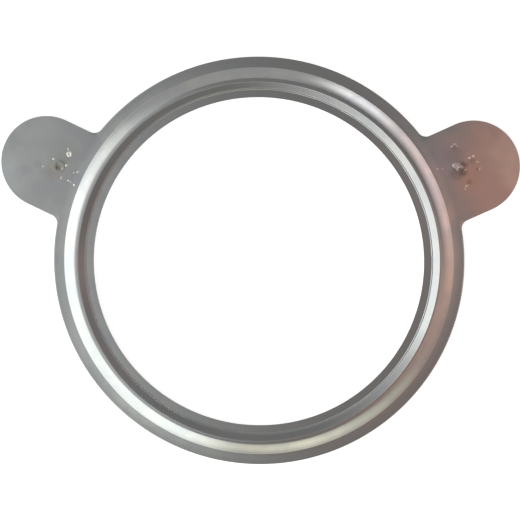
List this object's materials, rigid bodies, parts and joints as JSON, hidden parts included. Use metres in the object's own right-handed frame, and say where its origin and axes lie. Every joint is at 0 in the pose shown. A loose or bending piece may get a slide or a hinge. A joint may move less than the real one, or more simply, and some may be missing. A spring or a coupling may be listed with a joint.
{
  "type": "exhaust gasket",
  "caption": "Flat ring gasket for a round exhaust joint: two beaded steel sheets, tacked together at a pair of ears beside the bore.",
  "frame": {"origin": "on the bore axis, at the lowest ring of the lower bead, where the gasket rests", "axes": "+Z along the bore axis, out of the upper sheet; +X across the two ears; +Y towards the side on which the ears sit"},
  "size_m": [0.1286, 0.1025, 0.0025],
  "materials": {
    "rolled_stainless": "satin"
  },
  "bodies": {
    "root": {"upper_sheet": "rolled_stainless", "lower_sheet": "rolled_stainless"}
  },
  "joints": []
}
